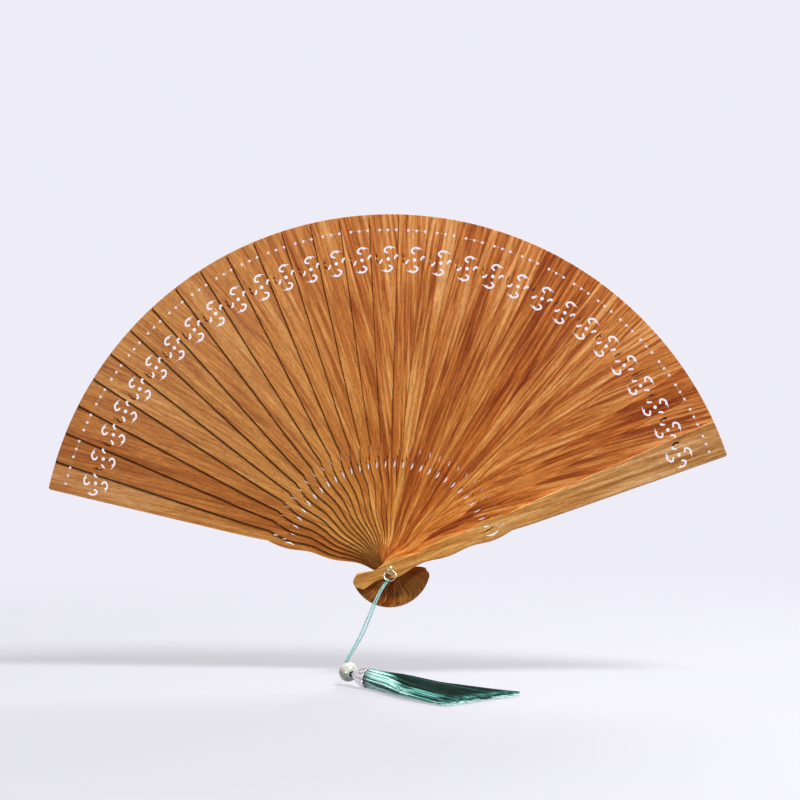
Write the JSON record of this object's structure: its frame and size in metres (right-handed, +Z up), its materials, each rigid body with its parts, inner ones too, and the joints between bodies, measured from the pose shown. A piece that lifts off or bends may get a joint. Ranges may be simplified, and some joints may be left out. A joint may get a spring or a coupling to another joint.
{
  "type": "hand fan",
  "caption": "Open folding fan of pierced wooden blades on a rivet, with a ring, cord, round bead, metal cap and silk tassel.",
  "frame": {"origin": "on the rivet's axis, half way through the stack of blades", "axes": "+X across the open fan to the front guard's side, +Y from the front of the fan to its back, +Z up along the middle of the open fan"},
  "size_m": [0.3454, 0.1373, 0.235],
  "materials": {
    "guard_wood": "waxed pale hardwood",
    "stick_wood": "waxed golden to red-brown hardwood, streaked grain",
    "rivet_brass": "polished brass",
    "ring_brass": "pale polished brass wire",
    "cord_silk": "pale teal braided silk",
    "bead_jade": "polished pale green stone",
    "cap_silver": "silver-coloured fluted metal",
    "binding_silk": "dark green silk thread",
    "skirt_silk": "lustrous green silk strands",
    "link_thread": "fine pale linking thread"
  },
  "bodies": {
    "back_guard": {"back_guard": "guard_wood", "rivet_pin": "rivet_brass", "back_washer": "rivet_brass", "front_washer": "rivet_brass"},
    "stick_01": {"stick_01": "stick_wood"},
    "stick_02": {"stick_02": "stick_wood"},
    "stick_03": {"stick_03": "stick_wood"},
    "stick_04": {"stick_04": "stick_wood"},
    "stick_05": {"stick_05": "stick_wood"},
    "stick_06": {"stick_06": "stick_wood"},
    "stick_07": {"stick_07": "stick_wood"},
    "stick_08": {"stick_08": "stick_wood"},
    "stick_09": {"stick_09": "stick_wood"},
    "stick_10": {"stick_10": "stick_wood"},
    "stick_11": {"stick_11": "stick_wood"},
    "stick_12": {"stick_12": "stick_wood"},
    "stick_13": {"stick_13": "stick_wood"},
    "stick_14": {"stick_14": "stick_wood"},
    "stick_15": {"stick_15": "stick_wood"},
    "stick_16": {"stick_16": "stick_wood"},
    "stick_17": {"stick_17": "stick_wood"},
    "stick_18": {"stick_18": "stick_wood"},
    "stick_19": {"stick_19": "stick_wood"},
    "stick_20": {"stick_20": "stick_wood"},
    "stick_21": {"stick_21": "stick_wood"},
    "stick_22": {"stick_22": "stick_wood"},
    "stick_23": {"stick_23": "stick_wood"},
    "stick_24": {"stick_24": "stick_wood"},
    "stick_25": {"stick_25": "stick_wood"},
    "stick_26": {"stick_26": "stick_wood"},
    "stick_27": {"stick_27": "stick_wood"},
    "stick_28": {"stick_28": "stick_wood"},
    "front_guard": {"front_guard": "guard_wood"},
    "tassel": {"hanging_ring": "ring_brass", "cord_hitch": "cord_silk", "cord_strand_left": "cord_silk", "cord_strand_right": "cord_silk", "bead": "bead_jade", "tassel_cap": "cap_silver", "stopper_knot": "cord_silk", "tassel_binding": "binding_silk", "tassel_skirt": "skirt_silk"}
  },
  "joints": [
    {"name": "fan_fold", "type": "hinge", "parent": "back_guard", "child": "front_guard", "pos_m": [0, 0, 0], "axis": [0, -1, 0], "range_deg": [0, 142.44]},
    {"name": "stick_01_fold", "type": "hinge", "parent": "back_guard", "child": "stick_01", "pos_m": [0, 0, 0], "axis": [0, -1, 0], "range_deg": [0, 4.8]},
    {"name": "stick_02_fold", "type": "hinge", "parent": "back_guard", "child": "stick_02", "pos_m": [0, 0, 0], "axis": [0, -1, 0], "range_deg": [0, 9.71]},
    {"name": "stick_03_fold", "type": "hinge", "parent": "back_guard", "child": "stick_03", "pos_m": [0, 0, 0], "axis": [0, -1, 0], "range_deg": [0, 14.67]},
    {"name": "stick_04_fold", "type": "hinge", "parent": "back_guard", "child": "stick_04", "pos_m": [0, 0, 0], "axis": [0, -1, 0], "range_deg": [0, 19.66]},
    {"name": "stick_05_fold", "type": "hinge", "parent": "back_guard", "child": "stick_05", "pos_m": [0, 0, 0], "axis": [0, -1, 0], "range_deg": [0, 24.68]},
    {"name": "stick_06_fold", "type": "hinge", "parent": "back_guard", "child": "stick_06", "pos_m": [0, 0, 0], "axis": [0, -1, 0], "range_deg": [0, 29.71]},
    {"name": "stick_07_fold", "type": "hinge", "parent": "back_guard", "child": "stick_07", "pos_m": [0, 0, 0], "axis": [0, -1, 0], "range_deg": [0, 34.74]},
    {"name": "stick_08_fold", "type": "hinge", "parent": "back_guard", "child": "stick_08", "pos_m": [0, 0, 0], "axis": [0, -1, 0], "range_deg": [0, 39.74]},
    {"name": "stick_09_fold", "type": "hinge", "parent": "back_guard", "child": "stick_09", "pos_m": [0, 0, 0], "axis": [0, -1, 0], "range_deg": [0, 44.71]},
    {"name": "stick_10_fold", "type": "hinge", "parent": "back_guard", "child": "stick_10", "pos_m": [0, 0, 0], "axis": [0, -1, 0], "range_deg": [0, 49.64]},
    {"name": "stick_11_fold", "type": "hinge", "parent": "back_guard", "child": "stick_11", "pos_m": [0, 0, 0], "axis": [0, -1, 0], "range_deg": [0, 54.52]},
    {"name": "stick_12_fold", "type": "hinge", "parent": "back_guard", "child": "stick_12", "pos_m": [0, 0, 0], "axis": [0, -1, 0], "range_deg": [0, 59.37]},
    {"name": "stick_13_fold", "type": "hinge", "parent": "back_guard", "child": "stick_13", "pos_m": [0, 0, 0], "axis": [0, -1, 0], "range_deg": [0, 64.2]},
    {"name": "stick_14_fold", "type": "hinge", "parent": "back_guard", "child": "stick_14", "pos_m": [0, 0, 0], "axis": [0, -1, 0], "range_deg": [0, 69.03]},
    {"name": "stick_15_fold", "type": "hinge", "parent": "back_guard", "child": "stick_15", "pos_m": [0, 0, 0], "axis": [0, -1, 0], "range_deg": [0, 73.88]},
    {"name": "stick_16_fold", "type": "hinge", "parent": "back_guard", "child": "stick_16", "pos_m": [0, 0, 0], "axis": [0, -1, 0], "range_deg": [0, 78.76]},
    {"name": "stick_17_fold", "type": "hinge", "parent": "back_guard", "child": "stick_17", "pos_m": [0, 0, 0], "axis": [0, -1, 0], "range_deg": [0, 83.67]},
    {"name": "stick_18_fold", "type": "hinge", "parent": "back_guard", "child": "stick_18", "pos_m": [0, 0, 0], "axis": [0, -1, 0], "range_deg": [0, 88.61]},
    {"name": "stick_19_fold", "type": "hinge", "parent": "back_guard", "child": "stick_19", "pos_m": [0, 0, 0], "axis": [0, -1, 0], "range_deg": [0, 93.58]},
    {"name": "stick_20_fold", "type": "hinge", "parent": "back_guard", "child": "stick_20", "pos_m": [0, 0, 0], "axis": [0, -1, 0], "range_deg": [0, 98.56]},
    {"name": "stick_21_fold", "type": "hinge", "parent": "back_guard", "child": "stick_21", "pos_m": [0, 0, 0], "axis": [0, -1, 0], "range_deg": [0, 103.53]},
    {"name": "stick_22_fold", "type": "hinge", "parent": "back_guard", "child": "stick_22", "pos_m": [0, 0, 0], "axis": [0, -1, 0], "range_deg": [0, 108.48]},
    {"name": "stick_23_fold", "type": "hinge", "parent": "back_guard", "child": "stick_23", "pos_m": [0, 0, 0], "axis": [0, -1, 0], "range_deg": [0, 113.4]},
    {"name": "stick_24_fold", "type": "hinge", "parent": "back_guard", "child": "stick_24", "pos_m": [0, 0, 0], "axis": [0, -1, 0], "range_deg": [0, 118.27]},
    {"name": "stick_25_fold", "type": "hinge", "parent": "back_guard", "child": "stick_25", "pos_m": [0, 0, 0], "axis": [0, -1, 0], "range_deg": [0, 123.1]},
    {"name": "stick_26_fold", "type": "hinge", "parent": "back_guard", "child": "stick_26", "pos_m": [0, 0, 0], "axis": [0, -1, 0], "range_deg": [0, 127.9]},
    {"name": "stick_27_fold", "type": "hinge", "parent": "back_guard", "child": "stick_27", "pos_m": [0, 0, 0], "axis": [0, -1, 0], "range_deg": [0, 132.69]},
    {"name": "stick_28_fold", "type": "hinge", "parent": "back_guard", "child": "stick_28", "pos_m": [0, 0, 0], "axis": [0, -1, 0], "range_deg": [0, 137.47]},
    {"name": "ring_swing", "type": "hinge", "parent": "back_guard", "child": "tassel", "pos_m": [0, -0.0113, 0], "axis": [-1, 0, 0], "range_deg": [0, 70]}
  ],
  "couplings": [
    {"joint": "stick_01_fold", "follows": "fan_fold", "ratio": 0.03361},
    {"joint": "stick_02_fold", "follows": "fan_fold", "ratio": 0.06812},
    {"joint": "stick_03_fold", "follows": "fan_fold", "ratio": 0.10291},
    {"joint": "stick_04_fold", "follows": "fan_fold", "ratio": 0.13795},
    {"joint": "stick_05_fold", "follows": "fan_fold", "ratio": 0.17319},
    {"joint": "stick_06_fold", "follows": "fan_fold", "ratio": 0.20852},
    {"joint": "stick_07_fold", "follows": "fan_fold", "ratio": 0.24381},
    {"joint": "stick_08_fold", "follows": "fan_fold", "ratio": 0.27895},
    {"joint": "stick_09_fold", "follows": "fan_fold", "ratio": 0.31382},
    {"joint": "stick_10_fold", "follows": "fan_fold", "ratio": 0.3484},
    {"joint": "stick_11_fold", "follows": "fan_fold", "ratio": 0.38269},
    {"joint": "stick_12_fold", "follows": "fan_fold", "ratio": 0.41674},
    {"joint": "stick_13_fold", "follows": "fan_fold", "ratio": 0.45066},
    {"joint": "stick_14_fold", "follows": "fan_fold", "ratio": 0.48458},
    {"joint": "stick_15_fold", "follows": "fan_fold", "ratio": 0.5186},
    {"joint": "stick_16_fold", "follows": "fan_fold", "ratio": 0.55283},
    {"joint": "stick_17_fold", "follows": "fan_fold", "ratio": 0.5873},
    {"joint": "stick_18_fold", "follows": "fan_fold", "ratio": 0.62202},
    {"joint": "stick_19_fold", "follows": "fan_fold", "ratio": 0.6569},
    {"joint": "stick_20_fold", "follows": "fan_fold", "ratio": 0.69187},
    {"joint": "stick_21_fold", "follows": "fan_fold", "ratio": 0.72678},
    {"joint": "stick_22_fold", "follows": "fan_fold", "ratio": 0.76153},
    {"joint": "stick_23_fold", "follows": "fan_fold", "ratio": 0.79602},
    {"joint": "stick_24_fold", "follows": "fan_fold", "ratio": 0.83022},
    {"joint": "stick_25_fold", "follows": "fan_fold", "ratio": 0.86414},
    {"joint": "stick_26_fold", "follows": "fan_fold", "ratio": 0.89785},
    {"joint": "stick_27_fold", "follows": "fan_fold", "ratio": 0.93145},
    {"joint": "stick_28_fold", "follows": "fan_fold", "ratio": 0.96506}
  ]
}
